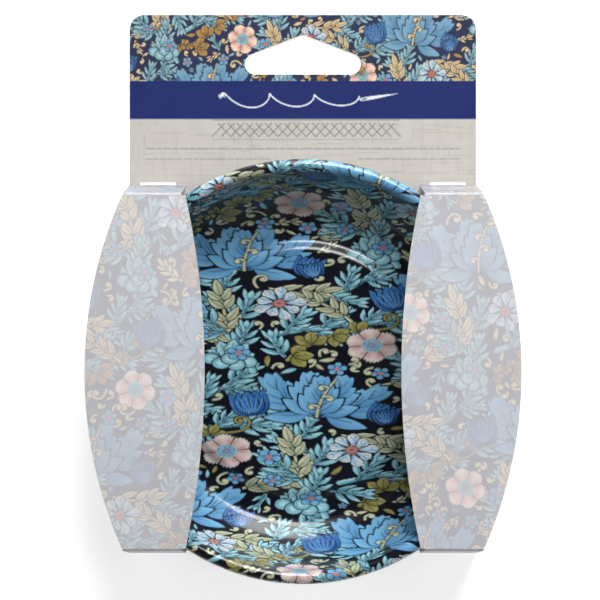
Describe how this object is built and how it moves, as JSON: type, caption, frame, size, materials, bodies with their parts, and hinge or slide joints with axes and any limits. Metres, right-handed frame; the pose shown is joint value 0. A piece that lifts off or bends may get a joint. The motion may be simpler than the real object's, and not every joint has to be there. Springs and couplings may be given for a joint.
{
  "type": "magnetic pin dish",
  "caption": "Round printed steel dish with a magnet under its floor, held in a folded card band with a window and a header with a hang slot.",
  "frame": {"origin": "on the dish's axis, on the underside of the card's back panel", "axes": "+Y from the dish towards the hang slot, +Z out of the dish's mouth, +X to the right as seen from the front"},
  "size_m": [0.1156, 0.1541, 0.025],
  "materials": {
    "card_print": "printed matt card",
    "header_print": "printed satin card",
    "tin_print": "printed and varnished",
    "ferrite": "bare sintered ferrite",
    "tape": "double-sided tape",
    "foam": "closed-cell foam"
  },
  "bodies": {
    "back": {"back_panel": "card_print"},
    "header": {"header_panel": "header_print"},
    "dish": {"dish_shell": "tin_print", "magnet_tape": "tape", "magnet": "ferrite", "base_pad": "foam"},
    "bottom_left": {"bottom_flap_left": "card_print"},
    "front_left": {"front_panel_left": "card_print"},
    "top_left": {"top_flap_left": "card_print"},
    "bottom_right": {"bottom_flap_right": "card_print"},
    "front_right": {"front_panel_right": "card_print"},
    "top_right": {"top_flap_right": "card_print"}
  },
  "joints": [
    {"name": "header_fold", "type": "hinge", "parent": "back", "child": "header", "pos_m": [0, 0.0505, 0.00025], "axis": [1, 0, 0], "range_deg": [0, 65]},
    {"name": "dish_turn", "type": "hinge", "parent": "back", "child": "dish", "pos_m": [0, 0, 0], "axis": [0, 0, 1], "continuous": true},
    {"name": "bottom_fold_left", "type": "hinge", "parent": "back", "child": "bottom_left", "pos_m": [0, -0.0505, 0.00025], "axis": [1, 0, 0], "range_deg": [0, 95]},
    {"name": "front_fold_left", "type": "hinge", "parent": "bottom_left", "child": "front_left", "pos_m": [0, -0.0471, 0.02475], "axis": [1, 0, 0], "range_deg": [0, 80]},
    {"name": "top_fold_left", "type": "hinge", "parent": "front_left", "child": "top_left", "pos_m": [0, 0.0471, 0.02475], "axis": [1, 0, 0], "range_deg": [0, 80]},
    {"name": "bottom_fold_right", "type": "hinge", "parent": "back", "child": "bottom_right", "pos_m": [0, -0.0505, 0.00025], "axis": [1, 0, 0], "range_deg": [0, 95]},
    {"name": "front_fold_right", "type": "hinge", "parent": "bottom_right", "child": "front_right", "pos_m": [0, -0.0471, 0.02475], "axis": [1, 0, 0], "range_deg": [0, 80]},
    {"name": "top_fold_right", "type": "hinge", "parent": "front_right", "child": "top_right", "pos_m": [0, 0.0471, 0.02475], "axis": [1, 0, 0], "range_deg": [0, 80]}
  ],
  "couplings": [
    {"joint": "top_fold_left", "follows": "front_fold_left", "ratio": 1},
    {"joint": "top_fold_right", "follows": "front_fold_right", "ratio": 1}
  ]
}
